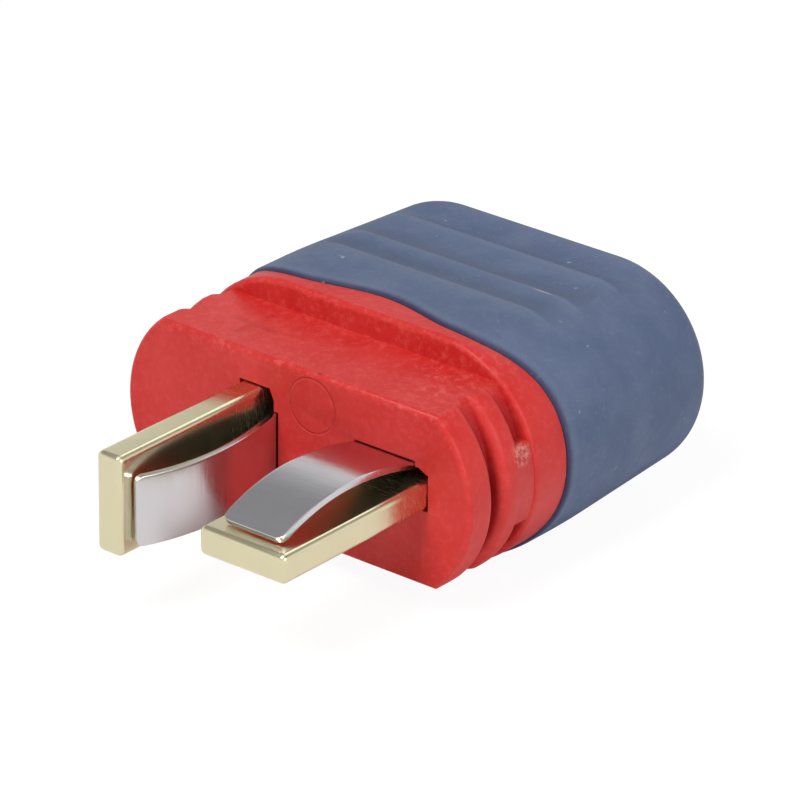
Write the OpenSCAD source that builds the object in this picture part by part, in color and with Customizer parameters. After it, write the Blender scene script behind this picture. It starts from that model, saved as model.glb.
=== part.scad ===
// Two-pole battery plug with crossed flat blades: a moulded housing, two bar contacts,
// an arched leaf spring on each contact, and a slide-on cap over the solder tabs.
// X runs along the width, Y from the blade tips to the cap, Z is up.
// The middle of the mating face is at the origin.

/* [Blades] */
// Width of a blade
blade_w = 4; // [3.2:0.05:4.3]
// Thickness of a blade
blade_t = 1.16; // [0.9:0.02:1.3]
// Length of the blades in front of the mating face
blade_reach = 7.95; // [7.7:0.05:9.5]
// Radius along the long edges of a blade
blade_edge_r = 0.22; // [0.05:0.01:0.35]
// Radius on the corners and edges of a blade's tip
blade_tip_r = 0.3; // [0.1:0.02:0.4]
// Middle of the upright blade, from the middle of the housing
upright_x = -2.07; // [-2.4:0.01:-1.8]
// Distance of the flat blade's middle from the housing's right end
flat_inset = 4.01; // [3.9:0.01:4.3]
// Height of both blades above the middle of the housing
blade_lift = 0.2; // [-0.2:0.05:0.3]
// Length of the solder tabs behind the housing
tab_reach = 4.1; // [2:0.1:4.4]

/* [Leaf springs] */
// Width of a leaf
leaf_w = 2.8; // [2.2:0.05:3.1]
// Thickness of a leaf
leaf_t = 0.28; // [0.2:0.01:0.34]
// Gap under the tip of a leaf
leaf_seat = 0.01; // [0:0.01:0.1]
// Distance from the mating face to the tip of a leaf
leaf_tip = 7.4; // [6.6:0.05:7.5]
// Distance from the mating face to the crown of a leaf
leaf_crown = 3.65; // [3:0.05:4.4]
// Height of the crown over the blade
leaf_rise = 1.15; // [0.9:0.01:1.3]
// Gap under the tail of a leaf
leaf_tail_gap = 0.27; // [0.2:0.01:0.32]
// Radius of the bend in front of the tail
leaf_bend_r = 2.5; // [1.5:0.1:4]
// Distance behind the mating face at which a leaf turns flat
leaf_bend_y = 0.6; // [0.4:0.05:0.8]
// Length of a leaf inside the housing
leaf_tail = 1.5; // [1:0.1:2]
// Radius on the front corners of a leaf
leaf_corner_r = 0.3; // [0.1:0.05:0.6]
// Distance of the upright leaf below the middle of its blade
leaf_drop = 0.26; // [0:0.01:0.4]

/* [Housing] */
// Width of the housing
body_w = 16.5; // [16.2:0.1:18]
// Height of the collar
body_h = 9; // [8.9:0.05:9.4]
// Height of the block in front of the collar
block_h = 6.96; // [6.4:0.02:7.6]
// Distance from the mating face to the front of the collar
collar_y = 3.8; // [3.6:0.05:4]
// Radius around the mating face and the collar's front
edge_r = 0.22; // [0.1:0.01:0.3]
// Distance from the mating face to the first end groove
groove_y = 1.5; // [1.3:0.05:1.55]
// Width of the first end groove
groove_w = 0.5; // [0.4:0.05:0.65]
// Distance from the mating face to the second end groove
pocket_y = 3.25; // [3:0.05:3.4]
// Radius on the edges beside the end grooves
bead_r = 0.45; // [0.2:0.01:0.48]
// Half the height of the bridge between the two pockets of the second groove
pocket_z = 1.55; // [0.8:0.05:2]
// Step from the bridge up to the collar
bridge_step = 0.06; // [0.03:0.01:0.15]
// Depth of the end grooves at mid height
groove_d = 0.7; // [0.4:0.05:0.9]
// Radius of the floor of the end grooves
groove_floor_r = 5.5; // [5:0.1:7]
// Distance from the mating face to the end of the spigot
spigot_y = 8.7; // [8:0.1:9.4]
// Thickness of the rib between the solder tabs
rib_t = 1; // [0.6:0.05:1.2]
// Height of the rib between the solder tabs
rib_h = 6; // [4:0.1:6.2]

/* [Cap] */
// Step from the collar up to the cap
cap_lip = 0.12; // [0.06:0.01:0.3]
// Inward taper of the cap's sides, from the first ridge to its rounded end
cap_taper = 0.32; // [0.16:0.01:0.4]
// Distance from the mating face to the end of the cap
cap_y = 15.24; // [14.6:0.02:16.5]
// Radius around the end of the cap
cap_round = 1.4; // [0.8:0.05:1.6]
// Thickness of the cap's side walls
cap_wall = 1; // [0.7:0.05:1.1]
// Thickness of the cap's end wall
cap_end_wall = 1.4; // [0.8:0.1:1.6]
// Mean distance from the mating face to the cap's wavy front edge
wave_y = 5.04; // [4.8:0.02:5.2]
// Reach of the two forward lobes of the wavy edge
wave_reach = 0.59; // [0.3:0.01:0.65]
// Dip of the wavy edge in its middle, next to its dip at the ends
wave_middle = 0.68; // [0.4:0.02:0.95]
// Distance of the lobes from the middle
lobe_x = 4.2; // [3.6:0.05:4.6]
// Distance from the mating face to the first grip ridge
ridge_y = 7.6; // [7:0.05:8.2]
// Run over which the cap's sides turn from straight to tapered, each way
taper_run = 1; // [0.4:0.1:1.4]
// Radius of the wire holes
wire_r = 2.3; // [1.8:0.05:2.4]
// Distance of the wire holes from the middle, as a share of the cap's half width
wire_share = 0.43; // [0.38:0.005:0.46]

/* [Fits] */
// Clearance around a blade in its slot
slot_fit = 0.05; // [0.02:0.01:0.08]
// Clearance around a leaf in its slot
leaf_fit = 0.04; // [0.03:0.01:0.1]
// Room above and behind the tail of a leaf
leaf_room = 0.12; // [0.11:0.01:0.24]
// Height of a slot's wide part above its blade
slot_rise = 0.46; // [0.3:0.02:0.5]
// Chamfer between the wide and the narrow part of a slot
slot_cut = 0.22; // [0.1:0.02:0.28]
// Clearance between the spigot and the cap
spigot_fit = 0.1; // [0.06:0.01:0.15]
// Gap between the collar and the cap's front edge
seam = 0.08; // [0.05:0.01:0.15]

/* [Hidden] */
$fn = 96;
small_facets = 32;
arc_step = 1;
wave_steps = 56;
overlap = 1;
far = 30;
red = "crimson";
gold = "khaki";
nickel = "silver";
slate = "slategray";

tab_end = spigot_y + tab_reach;
flat_x = body_w / 2 - flat_inset;
flat_top = blade_lift + blade_t / 2;
upright_side = upright_x + blade_t / 2;
rib_x = (upright_x + flat_x) / 2;

// The round ends of collar and cap share their centres
end_x = (body_w - body_h) / 2;
cap_r = body_h / 2 + cap_lip;
cap_rear_r = cap_r - cap_taper;
cap_round_y = cap_y - cap_round;
spigot_r = cap_r - cap_wall - spigot_fit;
wave_high = wave_y + wave_reach;
cap_half_w = end_x + cap_r;
wire_x = cap_half_w * wire_share;

// Ridges of the grip: places along the cap, and how far each lies below the top
ridge_step = [0, 1.85, 4.55, 6.75];
ridge_drop = [0, 0.14, 0.32, 0.47];
scallop_depth = [0.13, 0.22, 0.28];

// Points on an arc
function arc(c, r, a0, a1) =
    let (n = ceil(abs(a1 - a0) / arc_step))
    [for (i = [0:n]) let (a = a0 + (a1 - a0) * i / n) c + r * [cos(a), sin(a)]];

// Front edge of the cap over the width: a dip in the middle, a lobe on each side
// and a deeper dip around each end
function edge_y(x) =
    let (u = abs(x))
    u < lobe_x
    ? wave_y - wave_reach + wave_middle * (1 + cos(180 * u / lobe_x)) / 2
    : wave_y - wave_reach * cos(180 * (u - lobe_x) / (cap_half_w - lobe_x));

// Stands an outline in X and Z up along Y
module along_y(y0, y1) {
    translate([0, y1, 0]) rotate([90, 0, 0]) linear_extrude(y1 - y0) children();
}

// Stretches an outline in Y and Z along X, about the middle
module along_x(w) {
    rotate([90, 0, 90]) linear_extrude(w, center = true) children();
}

module stadium(w, h) {
    square([w - h, h], center = true);
    for (s = [-1, 1]) translate([s * (w - h) / 2, 0]) circle(d = h);
}

module round_rect(w, h, r) {
    square([w - 2 * r, h], center = true);
    square([w, h - 2 * r], center = true);
    for (sx = [-1, 1], sy = [-1, 1])
        translate([sx * (w / 2 - r), sy * (h / 2 - r)]) circle(r, $fn = small_facets);
}

// Outline from above of a bar with round corners at its front end
module bar_outline(w, y0, y1, r) {
    translate([-w / 2, y0 + r]) square([w, y1 - y0 - r]);
    translate([r - w / 2, y0]) square([w - 2 * r, r + overlap]);
    for (s = [-1, 1]) translate([s * (w / 2 - r), y0 + r]) circle(r, $fn = small_facets);
}

// Both contacts are the same bar, lying flat with its middle line on Y
module blade() {
    intersection() {
        along_y(-blade_reach, tab_end) round_rect(blade_w, blade_t, blade_edge_r);
        linear_extrude(blade_t * 2, center = true)
            bar_outline(blade_w, -blade_reach, tab_end + overlap, blade_tip_r);
        along_x(blade_w * 2) mirror([1, 0]) rotate(90)
            bar_outline(blade_t, -blade_reach, tab_end + overlap, blade_tip_r);
    }
}

// Arched leaf seen from the side: Y along the blade, height over the blade's face.
// Two arcs meet at the crown, and a reverse bend leads into the flat tail.
module leaf_side() {
    tip_h = leaf_seat + leaf_t;
    tail_h = leaf_tail_gap + leaf_t;
    front_run = leaf_tip - leaf_crown;
    front_fall = leaf_rise - tip_h;
    front_r = (front_run * front_run + front_fall * front_fall) / (2 * front_fall);
    front_a = asin(front_run / front_r);
    rear_run = leaf_crown + leaf_bend_y;
    rear_fall = leaf_rise - tail_h;
    both_r = (rear_run * rear_run + rear_fall * rear_fall) / (2 * rear_fall);
    rear_r = both_r - leaf_bend_r;
    rear_a = asin(rear_run / both_r);
    front_c = [-leaf_crown, leaf_rise - front_r];
    rear_c = [-leaf_crown, leaf_rise - rear_r];
    bend_c = [leaf_bend_y, tail_h + leaf_bend_r];
    outer = concat(
        arc(front_c, front_r, 90 + front_a, 90),
        arc(rear_c, rear_r, 90, 90 - rear_a),
        arc(bend_c, leaf_bend_r, 270 - rear_a, 270),
        [[leaf_tail, tail_h]]);
    inner = concat(
        [[leaf_tail, tail_h - leaf_t]],
        arc(bend_c, leaf_bend_r + leaf_t, 270, 270 - rear_a),
        arc(rear_c, rear_r - leaf_t, 90 - rear_a, 90),
        arc(front_c, front_r - leaf_t, 90, 90 + front_a));
    polygon(concat(outer, inner));
}

module leaf() {
    intersection() {
        along_x(leaf_w) leaf_side();
        linear_extrude(leaf_rise + overlap)
            bar_outline(leaf_w, -leaf_tip, leaf_tail + overlap, leaf_corner_r);
    }
}

// A place on the flat blade's upper face, or turned onto the upright blade's right face
module on_flat_blade() {
    translate([flat_x, 0, flat_top]) children();
}

module on_upright_blade() {
    translate([upright_side, 0, blade_lift]) rotate([0, 90, 0]) children();
}

// Slot for one blade and its leaf, drawn as the mating face shows it: the blade's own
// width at the bottom, chamfered towards the leaf's width above
module slot_outline() {
    w = blade_w / 2 + slot_fit;
    bottom = -blade_t - slot_fit;
    polygon([[-w, bottom], [w, bottom], [w, slot_rise - slot_cut], [w - 2 * slot_cut, slot_rise],
             [2 * slot_cut - w, slot_rise], [-w, slot_rise - slot_cut]]);
}

module leaf_outline(shift) {
    n = leaf_w / 2 + leaf_fit;
    translate([shift - n, 0]) square([2 * n, leaf_tail_gap + leaf_t + leaf_room]);
}

module slot(shift) {
    along_y(-overlap, leaf_tail + leaf_room) {
        slot_outline();
        leaf_outline(shift);
    }
    along_y(0, spigot_y + overlap) translate([0, -blade_t / 2])
        square([blade_w + 2 * slot_fit, blade_t + 2 * slot_fit], center = true);
}

// Flat middle and two round ends from one half outline, which gives the distance from
// the middle plane against the place along Y
module stadium_form() {
    for (s = [-1, 1]) translate([s * end_x, 0, 0]) rotate([-90, 0, 0])
        rotate_extrude() intersection() {
            children();
            translate([0, -far]) square([far, 2 * far]);
        }
    along_x(2 * end_x) for (s = [0, 1]) mirror([0, s]) rotate(90) mirror([0, 1]) children();
}

// Half outline of a bead with round front and rear edges
module bead(y0, y1, r0, r1) {
    reach = body_h / 2;
    polygon([[0, y0], [reach - r0, y0], [reach, y0 + r0], [reach, y1 - r1], [reach - r1, y1], [0, y1]]);
    translate([reach - r0, y0 + r0]) circle(r0, $fn = small_facets);
    translate([reach - r1, y1 - r1]) circle(r1, $fn = small_facets);
}

// Front of the housing: a core as wide as the groove floors, with two beads and a
// bridge around each end of it
module block() {
    bridge_y = pocket_y - bead_r;
    intersection() {
        union() {
            stadium_form() bead(0, groove_y, edge_r, bead_r);
            for (s = [0, 1]) mirror([s, 0, 0]) {
                along_y(edge_r, collar_y)
                    translate([body_w / 2 - groove_d - groove_floor_r, 0]) circle(groove_floor_r);
                translate([end_x, 0, 0]) rotate([-90, 0, 0]) rotate_extrude() intersection() {
                    bead(groove_y + groove_w, pocket_y, bead_r, bead_r);
                    square(far);
                }
                intersection() {
                    translate([end_x, bridge_y, 0]) rotate([-90, 0, 0])
                        cylinder(h = collar_y - bridge_y, r = body_h / 2 - bridge_step);
                    cube([far, far, 2 * pocket_z], center = true);
                }
            }
        }
        along_x(2 * body_w) mirror([1, 0]) rotate(90) bar_outline(block_h, 0, collar_y, edge_r);
    }
}

// Everything behind the cap's wavy front edge, or behind that edge moved back by a shift
module behind_edge(shift) {
    linear_extrude(far, center = true) polygon(concat(
        [for (i = [0:wave_steps]) let (x = cap_half_w * (2 * i / wave_steps - 1))
            [x, edge_y(x) + shift]],
        [[cap_half_w, wave_high + shift], [far, wave_high + shift], [far, far],
         [-far, far], [-far, wave_high + shift]]));
}

module housing() {
    color(red) difference() {
        union() {
            block();
            difference() {
                stadium_form() bead(collar_y, wave_high + edge_r, edge_r, edge_r);
                behind_edge(0);
            }
            along_y(collar_y + edge_r, spigot_y) stadium(2 * (end_x + spigot_r), 2 * spigot_r);
            translate([rib_x - rib_t / 2, spigot_y - overlap, -rib_h / 2])
                cube([rib_t, tab_reach + overlap, rib_h]);
        }
        on_flat_blade() slot(0);
        on_upright_blade() slot(leaf_drop);
    }
}

module flat_blade() {
    color(gold) translate([flat_x, 0, blade_lift]) blade();
}

module upright_blade() {
    color(gold) translate([upright_x, 0, blade_lift]) rotate([0, 90, 0]) blade();
}

module flat_leaf() {
    color(nickel) on_flat_blade() leaf();
}

module upright_leaf() {
    color(nickel) on_upright_blade() translate([leaf_drop, 0, 0]) leaf();
}

// Half outline of the cap: distance from its middle plane against place along Y
module cap_profile() {
    taper_a = atan((cap_r - cap_rear_r) / (cap_round_y - ridge_y));
    blend_r = taper_run / tan(taper_a / 2);
    polygon(concat(
        [[0, collar_y], [cap_r, collar_y]],
        arc([cap_r - blend_r, ridge_y - taper_run], blend_r, 0, taper_a),
        [[cap_rear_r, cap_round_y], [cap_rear_r - cap_round, cap_y], [0, cap_y]]));
    translate([cap_rear_r - cap_round, cap_round_y]) circle(cap_round);
}

module cavity_profile() {
    bore_r = spigot_r + spigot_fit;
    end_r = cap_rear_r - cap_wall;
    polygon([[0, 0], [bore_r, 0], [bore_r, spigot_y], [end_r, cap_round_y - cap_end_wall],
             [end_r - cap_round / 2, cap_y - cap_end_wall], [0, cap_y - cap_end_wall]]);
}

// Hollow between two grip ridges, given as [place along Y, height]
module scallop(a, b, depth) {
    run = norm(b - a);
    r = (run * run / 4 + depth * depth) / (2 * depth);
    up = [-(b[1] - a[1]), b[0] - a[0]] / run;
    c = (a + b) / 2 + up * (r - depth);
    translate([0, c[0], c[1]]) rotate([0, 90, 0]) cylinder(h = 2 * cap_half_w, r = r, center = true);
}

module cap() {
    ridges = [for (i = [0:3]) [ridge_y + ridge_step[i], cap_r - ridge_drop[i]]];
    color(slate) intersection() {
        difference() {
            stadium_form() cap_profile();
            stadium_form() cavity_profile();
            for (s = [0, 1], i = [0:2]) mirror([0, 0, s])
                scallop(ridges[i], ridges[i + 1], scallop_depth[i]);
            for (s = [-1, 1]) translate([s * wire_x, cap_y + overlap, 0])
                rotate([90, 0, 0]) cylinder(h = cap_end_wall + 2 * overlap, r = wire_r);
        }
        behind_edge(seam);
    }
}

housing();
flat_blade();
upright_blade();
flat_leaf();
upright_leaf();
cap();
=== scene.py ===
import math

import bmesh
import bpy
from mathutils import Matrix, Vector


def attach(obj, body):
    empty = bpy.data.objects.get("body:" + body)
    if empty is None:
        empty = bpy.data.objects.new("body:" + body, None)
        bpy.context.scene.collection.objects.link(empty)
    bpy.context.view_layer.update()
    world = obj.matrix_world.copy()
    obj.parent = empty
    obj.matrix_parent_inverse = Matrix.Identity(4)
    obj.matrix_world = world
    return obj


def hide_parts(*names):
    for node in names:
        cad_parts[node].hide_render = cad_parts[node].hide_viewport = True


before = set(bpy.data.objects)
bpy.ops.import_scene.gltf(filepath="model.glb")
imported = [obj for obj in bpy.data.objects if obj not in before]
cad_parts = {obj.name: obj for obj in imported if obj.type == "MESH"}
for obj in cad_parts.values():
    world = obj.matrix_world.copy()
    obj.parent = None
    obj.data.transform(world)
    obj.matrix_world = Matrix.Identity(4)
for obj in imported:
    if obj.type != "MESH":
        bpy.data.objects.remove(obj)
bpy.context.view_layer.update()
mm = 0.001


class Graph:  # adds nodes to one shader or geometry tree
    def __init__(self, tree):
        self.tree = tree

    def add(self, kind, settings=None, inputs=None, out=0):
        node = self.tree.nodes.new(kind)
        for name, value in (settings or {}).items():
            if name == "stops":
                ramp = node.color_ramp.elements
                while len(ramp) < len(value):
                    ramp.new(1)
                for stop, (position, colour) in zip(ramp, value):
                    stop.position, stop.color = position, colour
            else:
                setattr(node, name, value)
        for key, value in (inputs or {}).items():
            self.feed(value, node.inputs[key])
        return Wire(self, node.outputs[out])

    def feed(self, value, socket):
        if isinstance(value, Wire):
            self.tree.links.new(value.socket, socket)
        else:
            socket.default_value = value

    def maths(self, operation, *values):
        return self.add("ShaderNodeMath", {"operation": operation}, dict(enumerate(values)))

    def vectors(self, operation, *values):
        return self.add("ShaderNodeVectorMath", {"operation": operation}, dict(enumerate(values)))

    def mix(self, factor, first, second):  # blends two colours
        return self.add("ShaderNodeMix", {"data_type": "RGBA"}, {0: factor, 6: first, 7: second}, out=2)

    def step(self, value, low, high):  # 0 below low, 1 above high, smooth between
        return self.add("ShaderNodeMapRange", {"interpolation_type": "SMOOTHSTEP"},
                        {"Value": value, "From Min": low, "From Max": high})

    def noise(self, place, size, detail=2, rough=0.5):  # size is the width of one blotch, in metres
        return self.add("ShaderNodeTexNoise", {}, {
            "Vector": place, "Scale": 1 / size, "Detail": detail, "Roughness": rough})

    def stretch(self, place, scale):
        return self.add("ShaderNodeMapping", {}, {"Vector": place, "Scale": scale})


class Wire:  # an output socket that plain arithmetic works on
    def __init__(self, graph, socket):
        self.graph, self.socket = graph, socket

    def other(self, name):  # another output of the same node
        return Wire(self.graph, self.socket.node.outputs[name])

    def __add__(self, value): return self.graph.maths("ADD", self, value)
    def __radd__(self, value): return self.graph.maths("ADD", value, self)
    def __sub__(self, value): return self.graph.maths("SUBTRACT", self, value)
    def __rsub__(self, value): return self.graph.maths("SUBTRACT", value, self)
    def __mul__(self, value): return self.graph.maths("MULTIPLY", self, value)
    def __rmul__(self, value): return self.graph.maths("MULTIPLY", value, self)
    def __truediv__(self, value): return self.graph.maths("DIVIDE", self, value)
    def __mod__(self, value): return self.graph.maths("MODULO", self, value)
    def __pow__(self, value): return self.graph.maths("POWER", self, value)
    def __neg__(self): return self.graph.maths("MULTIPLY", self, -1)
    def __abs__(self): return self.graph.maths("ABSOLUTE", self)
    def __lt__(self, value): return self.graph.maths("LESS_THAN", self, value)
    def __gt__(self, value): return self.graph.maths("GREATER_THAN", self, value)
    def least(self, value): return self.graph.maths("MINIMUM", self, value)
    def most(self, value): return self.graph.maths("MAXIMUM", self, value)


# The camera stands at the photograph's own angle, worked out from its edges and corners.
view = {
    "azimuth": 39.16,      # degrees to the right of the blades
    "elevation": 25.17,    # degrees above them
    "roll": 0.6,
    "distance": 212.755,   # mm
    "aside": (-3.852, -1.953),   # place of the origin from the picture's middle, mm
    "lens": 260.665,
}


def makeCamera():
    az, el, roll = (math.radians(view[k]) for k in ("azimuth", "elevation", "roll"))
    back = Vector((math.sin(az) * math.cos(el), -math.cos(az) * math.cos(el), math.sin(el)))
    right = Vector((0, 0, 1)).cross(back).normalized()
    up = back.cross(right)
    turnedRight = math.cos(roll) * right + math.sin(roll) * up
    turnedUp = math.cos(roll) * up - math.sin(roll) * right
    x, y = view["aside"]
    place = (back * view["distance"] - turnedRight * x - turnedUp * y) * mm
    data = bpy.data.cameras.new("camera")
    data.lens, data.sensor_width = view["lens"], 36
    data.clip_start, data.clip_end = 0.01, 10
    camera = bpy.data.objects.new("camera", data)
    bpy.context.collection.objects.link(camera)
    camera.matrix_world = Matrix.Translation(place) @ Matrix((turnedRight, turnedUp, back)).transposed().to_4x4()
    bpy.context.scene.camera = camera


makeCamera()
print("camera placed")


def newMaterial(name):
    material = bpy.data.materials.new(name)
    material.use_nodes = True
    material.node_tree.nodes.clear()
    graph = Graph(material.node_tree)
    return material, graph, graph.add("ShaderNodeTexCoord", out="Object")


def finishMaterial(graph, fixed, varied, height=None, depth=0.0):
    inputs = {**fixed, **varied}
    if height is not None:
        inputs["Normal"] = graph.add("ShaderNodeBump", {}, {"Distance": depth, "Height": height})
    shader = graph.add("ShaderNodeBsdfPrincipled", {}, inputs)
    graph.feed(shader, graph.tree.nodes.new("ShaderNodeOutputMaterial").inputs["Surface"])


def addPiece(name, mesh, material, body, node):
    piece = bpy.data.objects.new(name, mesh)
    bpy.context.collection.objects.link(piece)
    mesh.materials.clear()
    mesh.materials.append(material)
    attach(piece, body)
    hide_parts(node)
    return piece


redNylon = {
    "colour": (0.56, 0.021, 0.018, 1),
    "second": (0.60, 0.034, 0.030, 1),   # of its faint clouds
    "chalk": (0.80, 0.17, 0.15, 1),      # where the surface is scuffed
    "roughness": 0.42,
    "grain": 0.16,                       # mm
    "grainDepth": 0.010,                 # mm
    "groove": (3.75, 4.5, 3.4, 3.85),    # x of the round end, its radius, height and rear of the end grooves, mm; the grooves get painted shade
    "scuffs": [(5.2, 1.6, 3.4, 2.0), (7.2, 3.3, 2.2, 0.9), (4.4, 3.0, 3.6, 1.6)],   # x, y, z, reach in mm
    "plus": (-3.6, 1.92, 1.1, 0.16, 0.02),    # x, y, arm, half width, depth in mm
    "edge": (0.0, 3.48, 0.42),                # y, z of the worn front edge and its reach in mm
    "ejectorRing": (0.8, 2.15, 1.08, 0.07, 0.03),  # x, z, radius, half width, depth in mm
    "gate": (8.0, 3.26, 1.32, 0.66),     # x, y, z, reach in mm
}


def spot(graph, place, x, y, z, reach):  # 1 at a point, 0 beyond its reach, all in mm
    distance = graph.vectors("DISTANCE", place, (x * mm, y * mm, z * mm)).other("Value")
    return 1 - graph.step(distance, 0, reach * mm)


def makeRed(look):
    material, graph, place = newMaterial("redNylon")
    x = graph.add("ShaderNodeSeparateXYZ", {}, {0: place})
    y, z = x.other("Y"), x.other("Z")
    fine = graph.noise(place, look["grain"] * mm, 3, 0.6)
    cloud = graph.noise(place, 2.4 * mm, 3, 0.6)
    scuff = 0
    for px, py, pz, reach in look["scuffs"]:
        scuff = spot(graph, place, px, py, pz, reach) + scuff
    ey, ez, reach = look["edge"]
    section = graph.add("ShaderNodeCombineXYZ", {}, {1: y, 2: z})
    fromEdge = graph.vectors("DISTANCE", section, (0, ey * mm, ez * mm)).other("Value")
    scuff = (1 - graph.step(fromEdge, 0, reach * mm)) * 0.9 + scuff
    flecks = graph.step(graph.noise(place, 0.35 * mm, 3, 0.7), 0.50, 0.72)
    scuff = scuff.least(1) * flecks * 0.9
    specks = graph.step(graph.noise(place, 0.4 * mm, 1, 0.4), 0.80, 0.84)
    px, py, pz, reach = look["gate"]
    gate = (spot(graph, place, px, py, pz, reach) * 2.2).least(1) * graph.step(fine, 0.35, 0.6)
    mottle = graph.step(graph.noise(place, 0.3 * mm, 4, 0.75), 0.46, 0.74) * (0.55 + graph.step(z, 2.9 * mm, 3.4 * mm) * 0.55)
    colour = graph.mix(graph.step(cloud, 0.3, 0.7), look["colour"], look["second"])
    colour = graph.mix(mottle * 0.28 + scuff * 0.6, colour, look["chalk"])
    colour = graph.mix(gate * 0.9, colour, (0.84, 0.24, 0.20, 1))
    # Painted shade: the end grooves are darkened in the colour, standing in for the shade that falls in them.
    endX, endRadius, grooveZ, grooveY = look["groove"]
    fromEnd = graph.add("ShaderNodeCombineXYZ", {}, {0: (abs(x) - endX * mm).most(0), 2: z})
    paintedGrooveShade = endRadius * mm - graph.vectors("LENGTH", fromEnd).other("Value")
    paintedGrooveShade = graph.step(paintedGrooveShade, 0.1 * mm, 0.5 * mm) * (abs(z) < grooveZ * mm) * (y > 0.1 * mm) * (y < grooveY * mm)
    colour = graph.mix(paintedGrooveShade * 0.6, colour, (0.22, 0.004, 0.006, 1))
    colour = graph.mix(specks * 0.6, colour, (0.16, 0.02, 0.02, 1))

    cx, cy, arm, half, plusDepth = look["plus"]   # the polarity mark on the block's top
    alongX, alongY = abs(x - cx * mm), abs(y - cy * mm)
    bars = [1 - graph.step(a.most(b + (arm - half) * mm), (arm - 0.1) * mm, (arm + 0.1) * mm) for a, b in
            ((alongX, alongY), (alongY, alongX))]
    worn = graph.step(graph.noise(place, 0.7 * mm, 2, 0.5), 0.35, 0.6)
    plus = bars[0].most(bars[1]) * (z > 3.2 * mm) * (0.25 + worn * 0.6)
    rx, rz, radius, ringHalf, ringDepth = look["ejectorRing"]
    flat = graph.add("ShaderNodeCombineXYZ", {}, {0: x, 2: z})
    fromRing = abs(graph.vectors("DISTANCE", flat, (rx * mm, 0, rz * mm)).other("Value") - radius * mm)
    ring = (1 - graph.step(fromRing, 0, ringHalf * mm)) * (y < 0.3 * mm)

    colour = graph.mix(plus * 0.55, colour, (0.40, 0.010, 0.012, 1))
    height = fine * (look["grainDepth"] * mm) - plus * (plusDepth * mm) - ring * (ringDepth * mm) + gate * (0.05 * mm)
    height = height + (scuff + mottle * 0.5) * (0.01 * mm)
    finishMaterial(graph, {"Specular IOR Level": 0.28, "IOR": 1.5, "Subsurface Weight": 0.05,
                           "Subsurface Radius": (0.0012, 0.0002, 0.0002), "Subsurface Scale": 1.0},
                   {"Base Color": colour, "Roughness": look["roughness"] + scuff * 0.2 + mottle * 0.12 + (fine - 0.5) * 0.15},
                   height, 1.0)
    return material


slateNylon = {
    "crests": (7.8, 9.62, 12.1, 14.5),   # y of the grip ridges, mm; painted light on the slope in front of each, a painted glint on it and painted shade behind
    # painted highlight colour: the lit slopes before the crests, the crests' glint and the band behind the rim
    "paintedHighlight": (0.150, 0.180, 0.262, 1),
    # painted shade colour: the slopes behind the crests
    "paintedShade": (0.050, 0.070, 0.128, 1),
    "seam": (0.040, 0.030, 0.070, 1),    # painted shade of the gap between cap and housing, along the rim
    "scuff": (4.0, 9.5, 4.55, 0.6),   # a short chalky rub on the second crest: x, y, z, reach in mm
    "colour": (0.090, 0.121, 0.210, 1),
    "pale": (0.118, 0.152, 0.242, 1),
    "roughness": 0.56,
    "grain": 0.14,                       # mm
    "grainDepth": 0.010,                 # mm
}


def waveEdge(graph, x, size):  # y of the cap's wavy front edge at x
    away = abs(x)
    halfWidth = size["endX"] + size["radius"]
    dip = size["waveMiddle"] * (1 + graph.maths("COSINE", away * math.pi / size["lobeX"])) / 2
    endDip = size["waveReach"] * graph.maths("COSINE", math.pi * (away - size["lobeX"]) / (halfWidth - size["lobeX"]))
    inMiddle = away < size["lobeX"]
    return size["waveY"] + (dip - size["waveReach"]) * inMiddle - endDip * (1 - inMiddle)


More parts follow.
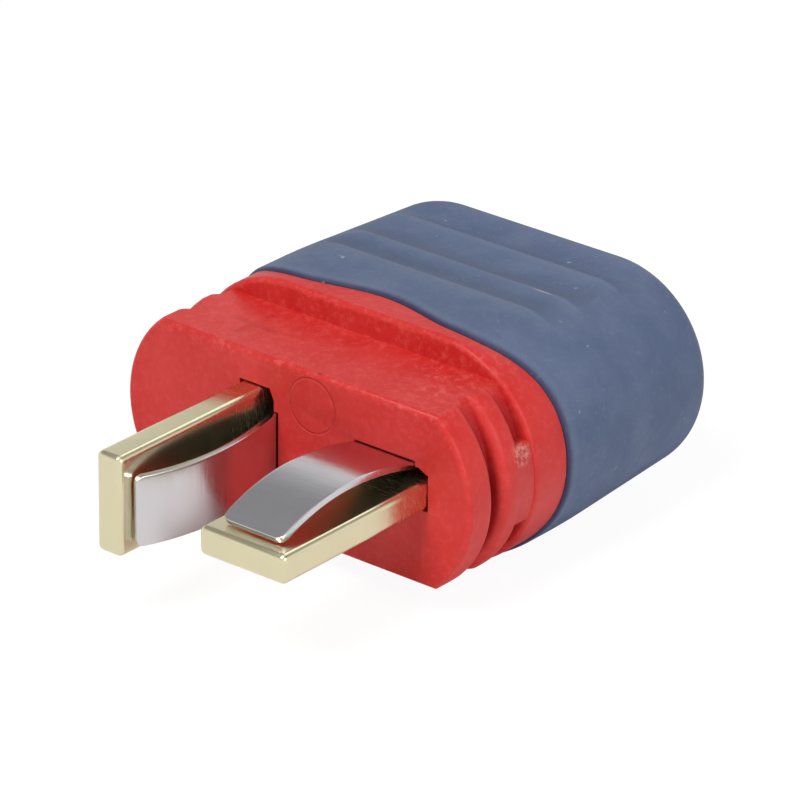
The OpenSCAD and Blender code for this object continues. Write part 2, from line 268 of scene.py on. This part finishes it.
def makeSlate(look):
    material, graph, place = newMaterial("slateNylon")
    fine = graph.noise(place, look["grain"] * mm, 3, 0.6)
    cloud = graph.noise(place, 1.8 * mm, 4, 0.6)
    colour = graph.mix(graph.step(cloud, 0.3, 0.75), look["colour"], look["pale"])
    specks = graph.step(graph.noise(place, 0.5 * mm, 1, 0.4), 0.76, 0.82)
    dust = graph.step(graph.noise(place, 0.2 * mm, 3, 0.7), 0.56, 0.74)
    x = graph.add("ShaderNodeSeparateXYZ", {}, {0: place})
    y, z = x.other("Y"), x.other("Z")
    onGrip = graph.step(abs(z), 3.6 * mm, 4.1 * mm) * (1 - graph.step(abs(x), 4.4 * mm, 6.2 * mm))
    # Painted light and shade on the grip ridges: each slope in front of a crest is painted paler, the crest gets a
    # painted glint, and the slope behind it is painted darker.
    front, rear, paintedCrestGlint = 0, 0, 0
    for crest in look["crests"]:
        paintedCrestGlint = graph.step(y, (crest - 0.3) * mm, (crest - 0.05) * mm) * (1 - graph.step(y, crest * mm, (crest + 0.2) * mm)) + paintedCrestGlint
        front = graph.step(y, (crest - 1.1) * mm, (crest - 0.05) * mm) * (y < crest * mm) + front
        rear = (1 - graph.step(y, (crest + 0.3) * mm, (crest + 1.8) * mm)) * (y > crest * mm) + rear
    colour = graph.mix(front * onGrip * 0.38, colour, look["paintedHighlight"])
    colour = graph.mix(rear.least(1) * onGrip * 0.5, colour, look["paintedShade"])
    colour = graph.mix(paintedCrestGlint * onGrip * 0.4, colour, look["paintedHighlight"])
    sx, sy, sz, reach = look["scuff"]
    scuff = spot(graph, place, sx, sy, sz, reach) * (1 - graph.step(abs(y - sy * mm), 0.04 * mm, 0.12 * mm))
    fromRim = y - waveEdge(graph, x, inMetres(cap))
    # A paler band just behind the rim: painted highlight on the rim's rounding.
    paintedRimHighlight = graph.step(fromRim, 0.26 * mm, 0.36 * mm) * (1 - graph.step(fromRim, 0.4 * mm, 0.75 * mm))
    colour = graph.mix(paintedRimHighlight * 0.3, colour, look["paintedHighlight"])
    # The rim and its first 0.28 mm are darkened: painted shade of the gap between cap and housing.
    colour = graph.mix((1 - graph.step(fromRim, 0.12 * mm, 0.28 * mm)) * 0.85, colour, look["seam"])
    colour = graph.mix((specks * 0.7 + dust * 0.12 + scuff * 0.9).least(1), colour, (0.35, 0.38, 0.44, 1))
    height = fine * (look["grainDepth"] * mm)
    finishMaterial(graph, {"IOR": 1.5, "Specular IOR Level": 0.16},
                   {"Base Color": colour, "Roughness": look["roughness"] + (fine - 0.5) * 0.2},
                   height, 1.0)
    return material


paleGold = {"colour": (0.76, 0.70, 0.47, 1), "roughness": 0.23, "scratches": 1.0}
brightNickel = {"colour": (0.67, 0.66, 0.69, 1), "roughness": 0.2, "scratches": 0.0}


def makePlating(name, look, drag):  # drag stretches the rolling marks along the bar
    material, graph, place = newMaterial(name)
    marks = graph.noise(graph.stretch(place, drag), 0.12 * mm, 3, 0.6)
    cloud = graph.noise(place, 1.5 * mm, 2, 0.5)
    dents = graph.noise(place, 0.16 * mm, 2, 0.5)
    y = graph.add("ShaderNodeSeparateXYZ", {}, {0: place}).other("Y")
    scratches = graph.step(graph.noise(graph.stretch(place, (0.1, 1, 0.1)), 0.07 * mm, 2, 0.6), 0.52, 0.7)
    scratches = scratches * graph.step(y, -2.6 * mm, -0.6 * mm) * look["scratches"]
    colour = graph.mix(cloud, look["colour"], tuple(c * 0.93 for c in look["colour"][:3]) + (1,))
    finishMaterial(graph, {"Metallic": 1.0}, {
        "Base Color": colour, "Roughness": look["roughness"] + (marks - 0.5) * 0.16 + (cloud - 0.5) * 0.06 + scratches * 0.12},
        marks * (0.0022 * mm) + cloud * (0.012 * mm) + dents * (0.0016 * mm) + scratches * (0.0005 * mm), 1.0)
    return material


redMaterial = makeRed(redNylon)
goldMaterial = makePlating("paleGold", paleGold, (0.08, 1, 0.08))
nickelMaterial = makePlating("brightNickel", brightNickel, (0.08, 1, 0.08))
print("finishes made")


blade = {                 # both contacts are the same bar
    "width": 4.0, "thickness": 1.16, "reach": 7.95, "tabEnd": 12.8,
    "edge": 0.24,          # rounding, mm
    "flatX": 4.24, "uprightX": -2.07, "lift": 0.2,
}


def onFlatBlade():
    return Matrix.Translation((blade["flatX"] * mm, 0, blade["lift"] * mm))


def onUprightBlade():
    return Matrix.Translation((blade["uprightX"] * mm, 0, blade["lift"] * mm)) @ Matrix.Rotation(math.pi / 2, 4, "Y")


def newTree(name, sizes):  # one named input for each size
    tree = bpy.data.node_groups.new(name, "GeometryNodeTree")
    tree.interface.new_socket("Geometry", in_out="INPUT", socket_type="NodeSocketGeometry")
    for size, value in sizes.items():
        kind = "NodeSocketInt" if isinstance(value, int) else "NodeSocketFloat"
        tree.interface.new_socket(size, in_out="INPUT", socket_type=kind)
    tree.interface.new_socket("Finish", in_out="INPUT", socket_type="NodeSocketMaterial")
    tree.interface.new_socket("Geometry", in_out="OUTPUT", socket_type="NodeSocketGeometry")
    graph = Graph(tree)
    return tree, graph, tree.nodes.new("NodeGroupInput").outputs


def endTree(graph, geometry, finish):
    real = graph.add("GeometryNodeRealizeInstances", {}, {0: geometry})
    done = graph.add("GeometryNodeSetMaterial", {}, {"Geometry": real, "Material": finish})
    graph.feed(done, graph.tree.nodes.new("NodeGroupOutput").inputs[0])


def runTree(name, base, tree, sizes, material):  # the tree's result as a plain mesh
    carrier = bpy.data.objects.new(name + "Carrier", base)
    bpy.context.collection.objects.link(carrier)
    modifier = carrier.modifiers.new("make", "NODES")
    modifier.node_group = tree
    sockets = {s.name: s.identifier for s in tree.interface.items_tree if s.in_out == "INPUT"}
    for size, value in sizes.items():
        modifier[sockets[size]] = value
    modifier[sockets["Finish"]] = material
    bpy.context.view_layer.update()
    result = carrier.evaluated_get(bpy.context.evaluated_depsgraph_get())
    mesh = bpy.data.meshes.new_from_object(result)
    mesh.name = name
    carrier.modifiers.remove(modifier)
    bpy.data.objects.remove(carrier)
    return mesh


def finishEdges(piece, width, segments, angle=None):  # rounds the sharp edges, or the ones with a bevel weight
    bevel = piece.modifiers.new("round", "BEVEL")
    bevel.width, bevel.segments = width, segments
    if angle is None:
        bevel.limit_method = "WEIGHT"
    else:
        bevel.limit_method, bevel.angle_limit = "ANGLE", math.radians(angle)
    bevel.miter_outer = "MITER_ARC"
    bevel.use_clamp_overlap = True
    result = piece.evaluated_get(bpy.context.evaluated_depsgraph_get())
    mesh = bpy.data.meshes.new_from_object(result)
    piece.modifiers.clear()
    piece.data = mesh
    return mesh


def settleNormals(mesh, angle):  # smooth over the roundings, flat on the large faces, sharp above the angle
    mesh.shade_smooth()
    mesh.set_sharp_from_angle(angle=math.radians(angle))
    carrier = bpy.data.objects.new("normalsCarrier", mesh)
    bpy.context.collection.objects.link(carrier)
    weigh = carrier.modifiers.new("weigh", "WEIGHTED_NORMAL")
    weigh.mode, weigh.keep_sharp, weigh.weight = "FACE_AREA", True, 100
    result = bpy.data.meshes.new_from_object(carrier.evaluated_get(bpy.context.evaluated_depsgraph_get()))
    bpy.data.objects.remove(carrier)
    return result


def makeBlade(name, place, node):
    size = Vector((blade["width"], blade["reach"] + blade["tabEnd"], blade["thickness"])) * mm
    middle = Vector((0, (blade["tabEnd"] - blade["reach"]) / 2 * mm, 0))
    shape = bmesh.new()
    bmesh.ops.create_cube(shape, size=1, matrix=Matrix.Translation(middle) @ Matrix.Diagonal((*size, 1)))
    bmesh.ops.bevel(shape, geom=shape.edges[:], offset=blade["edge"] * mm, offset_type="OFFSET", segments=6,
                    profile=0.5, affect="EDGES", clamp_overlap=True)
    mesh = bpy.data.meshes.new(name)
    shape.to_mesh(mesh)
    shape.free()
    mesh.transform(place)
    mesh = settleNormals(mesh, 60)
    return addPiece(name, mesh, goldMaterial, "plug", node)


makeBlade("flatContact", onFlatBlade(), "flat_blade")
makeBlade("uprightContact", onUprightBlade(), "upright_blade")
print("contact blades made")


leaf = {                  # one arched strip, used twice
    "width": 2.8, "thickness": 0.28, "tip": 7.4, "crown": 3.65, "rise": 1.15,
    "seat": 0.01, "tailGap": 0.27, "bendRadius": 2.5, "bendY": 0.6, "tail": 1.5,
    "corner": 0.3, "drop": 0.26, "edge": 0.09, "rows": 150, "columns": 24,
}


def buildLeafTree():
    sizes = {k: v for k, v in leaf.items() if k not in ("drop", "edge")}
    tree, graph, given = newTree("archedLeaf", sizes)
    size = {k: Wire(graph, given[k]) for k in sizes}
    grid = graph.add("GeometryNodeMeshGrid", {}, {"Size X": 1.0, "Size Y": 1.0, "Vertices X": size["columns"],
                                                  "Vertices Y": size["rows"]})
    x = graph.add("ShaderNodeSeparateXYZ", {}, {0: graph.add("GeometryNodeInputPosition")})
    along = x.other("Y") + 0.5
    y = along * (size["tip"] + size["tail"]) - size["tip"]
    tipHeight = size["seat"] + size["thickness"]
    tailHeight = size["tailGap"] + size["thickness"]

    def arcRadius(run, fall):  # of the arc that falls this far over this run
        return (run * run + fall * fall) / (2 * fall)

    frontRadius = arcRadius(size["tip"] - size["crown"], size["rise"] - tipHeight)
    rearRun = size["crown"] + size["bendY"]
    bothRadii = arcRadius(rearRun, size["rise"] - tailHeight)
    rearRadius = bothRadii - size["bendRadius"]
    bendStart = size["bendY"] - size["bendRadius"] * rearRun / bothRadii

    def arcHeight(radius, off):  # drop of an arc below its top
        return radius - (radius * radius - off * off).most(0) ** 0.5

    front = size["rise"] - arcHeight(frontRadius, y + size["crown"])
    rear = size["rise"] - arcHeight(rearRadius, y + size["crown"])
    bend = tailHeight + arcHeight(size["bendRadius"], (y - size["bendY"]).least(0))
    inFront, inBend = y < -size["crown"], y > bendStart
    height = front * inFront + rear * (1 - inFront) * (1 - inBend) + bend * inBend
    toTip = ((y + size["tip"]) - size["corner"]).least(0)
    half = size["width"] / 2 - size["corner"] + (size["corner"] * size["corner"] - toTip * toTip).most(0) ** 0.5
    placed = graph.add("ShaderNodeCombineXYZ", {}, {0: x * 2 * half, 1: y, 2: height})
    strip = graph.add("GeometryNodeSetPosition", {}, {"Geometry": grid, "Position": placed})
    endTree(graph, strip, Wire(graph, given["Finish"]))
    return tree, sizes


def inMetres(sizes):
    return {k: v if isinstance(v, int) else v * mm for k, v in sizes.items()}


def makeLeaf(name, place, node, body):
    tree, sizes = buildLeafTree()
    mesh = runTree(name, bpy.data.meshes.new("leafBase"), tree, inMetres(sizes), nickelMaterial)
    piece = bpy.data.objects.new(name, mesh)
    bpy.context.collection.objects.link(piece)
    wall = piece.modifiers.new("wall", "SOLIDIFY")
    wall.thickness, wall.offset, wall.use_even_offset = leaf["thickness"] * mm, -1, True
    mesh = finishEdges(piece, leaf["edge"] * mm, 4, 40)
    bpy.data.objects.remove(piece)
    mesh.transform(place)
    mesh = settleNormals(mesh, 60)
    return addPiece(name, mesh, nickelMaterial, body, node)


topFace = Matrix.Translation((0, 0, blade["thickness"] / 2 * mm))
makeLeaf("flatLeafSpring", onFlatBlade() @ topFace, "flat_leaf", "flat_spring")
makeLeaf("uprightLeafSpring", onUprightBlade() @ topFace @ Matrix.Translation((leaf["drop"] * mm, 0, 0)),
         "upright_leaf", "upright_spring")
print("leaf springs made")


cap = {
    "radius": 4.62, "rearRadius": 4.3, "endX": 3.75, "bore": 3.62, "spigotEnd": 8.7,
    "rimY": 5.12, "ridgeY": 7.6, "rearY": 15.24, "rearRound": 1.4, "endWall": 1.4, "wall": 1.0,
    "waveY": 5.04, "waveReach": 0.59, "waveMiddle": 0.68, "lobeX": 4.2,
    "rimRound": 0.22, "innerRound": 0.7, "blend": 1.0, "waveFade": 7.2, "wireRadius": 2.3, "wireX": 3.6,
    "columns": 264,
}
ridges = [(7.6, 4.62), (9.45, 4.48), (12.15, 4.3), (14.35, 4.15)]     # y and z of the crests, mm
hollows = [0.19, 0.28, 0.34]                                           # depth between two crests, mm


def arcPoints(centre, radius, start, end, count):
    return [(centre[0] + radius * math.cos(math.radians(start + (end - start) * i / count)),
             centre[1] + radius * math.sin(math.radians(start + (end - start) * i / count))) for i in range(count + 1)]


def linePoints(start, end, pitch):
    count = max(1, round(math.dist(start, end) / pitch))
    return [(start[0] + (end[0] - start[0]) * i / count, start[1] + (end[1] - start[1]) * i / count)
            for i in range(1, count)]


def capSection():  # the wall's outline: distance from the middle plane and y, from the hollow's end to the rear
    c = cap
    innerEnd = c["rearY"] - c["endWall"]
    innerRadius = c["rearRadius"] - c["wall"]
    inner, half = c["innerRound"], c["rimRound"]
    taper = math.degrees(math.atan((c["radius"] - c["rearRadius"]) / (c["rearY"] - c["rearRound"] - c["ridgeY"])))
    blend = c["blend"] / math.tan(math.radians(taper / 2))
    points = [(0.0, innerEnd)] + linePoints((0, innerEnd), (innerRadius - inner, innerEnd), 0.5)
    points += arcPoints((innerRadius - inner, innerEnd - inner), inner, 90, 0, 6)
    points += linePoints((innerRadius, innerEnd - inner), (c["bore"], c["spigotEnd"]), 0.4) + [(c["bore"], c["spigotEnd"])]
    points += linePoints((c["bore"], c["spigotEnd"]), (c["bore"], c["rimY"] + half), 0.25)
    points += arcPoints((c["bore"] + half, c["rimY"] + half), half, 180, 270, 5)
    outside = len(points)
    points += arcPoints((c["radius"] - half, c["rimY"] + half), half, 270, 360, 7)
    points += linePoints((c["radius"], c["rimY"] + half), (c["radius"], c["ridgeY"] - c["blend"]), 0.12)
    points += arcPoints((c["radius"] - blend, c["ridgeY"] - c["blend"]), blend, 0, taper, 14)
    knee = (c["rearRadius"], c["rearY"] - c["rearRound"])
    points += linePoints(points[-1], knee, 0.1)
    points += arcPoints((knee[0] - c["rearRound"], knee[1]), c["rearRound"], 0, 90, 16)
    points += linePoints(points[-1], (0, c["rearY"]), 0.4) + [(0.0, c["rearY"])]
    return [(r * mm, y * mm) for r, y in points], outside


def buildCapTree(rows, outside):
    names = ("endX", "waveY", "waveReach", "waveMiddle", "lobeX", "waveFade", "rimY", "radius",
             "rearY", "wireRadius", "wireX", "columns")
    sizes = {k: cap[k] for k in names}
    tree, graph, given = newTree("slideOnCap", sizes)
    size = {k: Wire(graph, given[k]) for k in sizes}
    section = Wire(graph, given["Geometry"])
    grid = graph.add("GeometryNodeMeshGrid", {}, {"Size X": 1.0, "Size Y": 1.0, "Vertices X": size["columns"] + 1,
                                                  "Vertices Y": rows})
    index = graph.add("GeometryNodeInputIndex")
    row = index % rows
    column = graph.maths("FLOOR", (index + 0.5) / rows)
    sample = graph.add("GeometryNodeSampleIndex", {"data_type": "FLOAT_VECTOR", "domain": "POINT"},
                       {"Geometry": section, "Index": row})
    position = graph.add("GeometryNodeInputPosition")
    graph.feed(position, sample.socket.node.inputs["Value"])
    radius = graph.add("ShaderNodeSeparateXYZ", {}, {0: sample})
    y = radius.other("Y")

    straight = size["endX"] * 2          # round the stadium: over the top, round one end, back, round the other
    turn = math.pi * size["radius"]
    walked = column / size["columns"] * (2 * (straight + turn))
    top = walked.least(straight)
    rightTurn = (walked - straight).most(0).least(turn)
    bottom = (walked - straight - turn).most(0).least(straight)
    leftTurn = (walked - 2 * straight - turn).most(0)
    centre = top - bottom - size["endX"]
    angle = (rightTurn + leftTurn) / size["radius"]
    x = centre + radius * graph.maths("SINE", angle)
    z = radius * graph.maths("COSINE", angle)

    wavy = 1 - graph.step(y, size["rimY"] + 0.3 * mm, size["waveFade"])
    shifted = y + (waveEdge(graph, x, size) - size["waveY"]) * wavy

    ceiling = 1.0                        # hollows between the grip ridges, on top and below
    for (a, b), depth in zip(zip(ridges, ridges[1:]), hollows):
        run, rise = b[0] - a[0], b[1] - a[1]
        length = math.hypot(run, rise)
        bendRadius = (length * length / 4 + depth * depth) / (2 * depth)
        cy = (a[0] + b[0]) / 2 - rise / length * (bendRadius - depth)
        cz = (a[1] + b[1]) / 2 + run / length * (bendRadius - depth)
        off = shifted - cy * mm
        floor = cz * mm - ((bendRadius * mm) ** 2 - off * off).most(0) ** 0.5
        within = (shifted > a[0] * mm) * (shifted < b[0] * mm)
        floor = floor * within + 1.0 * (1 - within)
        ceiling = floor.least(ceiling)
    onOutside = row > outside
    ceiling = ceiling * onOutside + (1 - onOutside)
    side = graph.maths("SIGN", z)
    cut = side * graph.maths("SMOOTH_MIN", abs(z), ceiling, 0.12 * mm)
    placed = graph.add("ShaderNodeCombineXYZ", {}, {0: x, 1: shifted, 2: cut})
    skin = graph.add("GeometryNodeSetPosition", {}, {"Geometry": grid, "Position": placed})
    skin = graph.add("GeometryNodeMergeByDistance", {}, {"Geometry": skin, "Distance": 0.00001})
    drill = graph.add("GeometryNodeMeshCylinder", {}, {"Vertices": 72, "Radius": size["wireRadius"],
                                                       "Depth": size["wireRadius"] * 2})
    places = graph.add("GeometryNodeMeshLine", {"mode": "END_POINTS"}, {
        "Count": 2, "Start Location": graph.add("ShaderNodeCombineXYZ", {}, {0: -size["wireX"], 1: size["rearY"]}),
        "Offset": graph.add("ShaderNodeCombineXYZ", {}, {0: size["wireX"], 1: size["rearY"]})})
    drills = graph.add("GeometryNodeInstanceOnPoints", {}, {
        "Points": places, "Instance": drill, "Rotation": (math.pi / 2, 0, 0)})
    drills = graph.add("GeometryNodeRealizeInstances", {}, {0: drills})
    skin = graph.add("GeometryNodeMeshBoolean", {"operation": "DIFFERENCE", "solver": "EXACT"}, {0: skin, 1: drills})
    endTree(graph, skin, Wire(graph, given["Finish"]))
    return tree, sizes


def makeCap():
    points, outside = capSection()
    base = bpy.data.meshes.new("capSection")
    base.from_pydata([(r, y, 0) for r, y in points], [(i, i + 1) for i in range(len(points) - 1)], [])
    tree, sizes = buildCapTree(len(points), outside)
    mesh = runTree("slideOnCap", base, tree, inMetres(sizes), slateMaterial)
    shape = bmesh.new()
    shape.from_mesh(mesh)
    bmesh.ops.recalc_face_normals(shape, faces=shape.faces[:])
    shape.to_mesh(mesh)
    print("cap triangles", sum(len(f.verts) - 2 for f in shape.faces))
    shape.free()
    mesh.shade_smooth()
    mesh.set_sharp_from_angle(angle=math.radians(50))
    return addPiece("slideOnCap", mesh, slateMaterial, "rear_cap", "cap")


slateMaterial = makeSlate(slateNylon)
makeCap()
print("cap made")


housing = {
    "edge": 0.12, "segments": 3, "angle": 36,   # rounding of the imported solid's sharp edges: mm, steps, degrees
    "slots": (6.5, 2.7),                        # half width and half height of the face with the crisp slots, mm
}


def makeHousing():
    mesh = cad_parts["housing"].data.copy()
    shape = bmesh.new()
    shape.from_mesh(mesh)
    bmesh.ops.remove_doubles(shape, verts=shape.verts[:], dist=0.000001)
    bmesh.ops.dissolve_limit(shape, angle_limit=math.radians(0.6), verts=shape.verts[:], edges=shape.edges[:])
    weight = shape.edges.layers.float.new("bevel_weight_edge")
    halfWidth, halfHeight = (v * mm for v in housing["slots"])
    for edge in shape.edges:
        middle = (edge.verts[0].co + edge.verts[1].co) / 2
        inward = abs(edge.verts[0].co.y - edge.verts[1].co.y) > 0.9 * edge.calc_length()
        inSlot = abs(middle.x) < halfWidth and abs(middle.z) < halfHeight and (inward or middle.y < 0.01 * mm)
        sharp = len(edge.link_faces) == 2 and edge.calc_face_angle() > math.radians(housing["angle"])
        edge[weight] = 1.0 if sharp and not inSlot else 0.0
    shape.to_mesh(mesh)
    shape.free()
    piece = bpy.data.objects.new("housingRounded", mesh)
    bpy.context.collection.objects.link(piece)
    mesh = finishEdges(piece, housing["edge"] * mm, housing["segments"])
    bpy.data.objects.remove(piece)
    mesh = settleNormals(mesh, 40)
    return addPiece("mouldedHousing", mesh, redMaterial, "plug", "housing")


makeHousing()
print("housing made")


studio = {
    "floorZ": -4.63, "floorSize": 1.2,
    "worldLevel": 0.22,
    "key": ((0.0, -0.18, 0.275), 0.14, 0.79),       # place in m, size in m, watts
    "fill": ((0.27, -0.05, 0.14), 0.20, 0.36),
    "rim": ((-0.05, 0.26, 0.22), 0.20, 0.12),
}


def makeStudio():
    size = studio["floorSize"]
    z = studio["floorZ"] * mm
    mesh = bpy.data.meshes.new("floor")
    mesh.from_pydata([(-size, -size, z), (size, -size, z), (size, size, z), (-size, size, z)], [], [(0, 1, 2, 3)])
    floor = bpy.data.objects.new("floor", mesh)
    bpy.context.collection.objects.link(floor)
    material, graph, _ = newMaterial("paleFloor")
    lit = graph.add("ShaderNodeBsdfDiffuse", {}, {"Color": (0.9, 0.9, 0.9, 1)})
    white = graph.add("ShaderNodeEmission", {}, {"Color": (1, 1, 1, 1), "Strength": 1.06})
    seen = graph.add("ShaderNodeLightPath", out="Is Camera Ray")
    graph.feed(graph.add("ShaderNodeMixShader", {}, {0: seen * 0.88, 1: lit, 2: white}),
               graph.tree.nodes.new("ShaderNodeOutputMaterial").inputs["Surface"])
    mesh.materials.append(material)

    for name in ("key", "fill", "rim"):
        place, width, watts = studio[name]
        lamp = bpy.data.lights.new(name, "AREA")
        lamp.shape, lamp.size, lamp.energy = "DISK", width, watts
        thing = bpy.data.objects.new(name, lamp)
        bpy.context.collection.objects.link(thing)
        thing.location = place
        thing.rotation_euler = (Vector((0, 0.004, 0)) - Vector(place)).to_track_quat("-Z", "Y").to_euler()

    world = bpy.data.worlds.new("studio")
    bpy.context.scene.world = world
    world.use_nodes = True
    world.node_tree.nodes.clear()
    graph = Graph(world.node_tree)
    path = graph.add("ShaderNodeLightPath", out="Is Camera Ray")
    bright = path.most(path.other("Is Glossy Ray")).most(path.other("Is Transmission Ray"))
    toward = graph.add("ShaderNodeSeparateXYZ", {}, {0: graph.add("ShaderNodeTexCoord", out="Generated")}).other("Z")
    sweep = 1 - graph.step(toward, 0.25, 0.7) * 0.68     # the white sweep ends in a darker room
    overhead = graph.step(toward, 0.85, 0.95) * 0.75     # below a soft box
    level = bright * (sweep + overhead) + (1 - bright) * studio["worldLevel"]
    sky = graph.add("ShaderNodeBackground", {}, {"Color": (1, 1, 1, 1), "Strength": level})
    graph.feed(sky, world.node_tree.nodes.new("ShaderNodeOutputWorld").inputs["Surface"])


makeStudio()
bpy.context.scene.view_settings.view_transform = "Standard"
print("studio made")
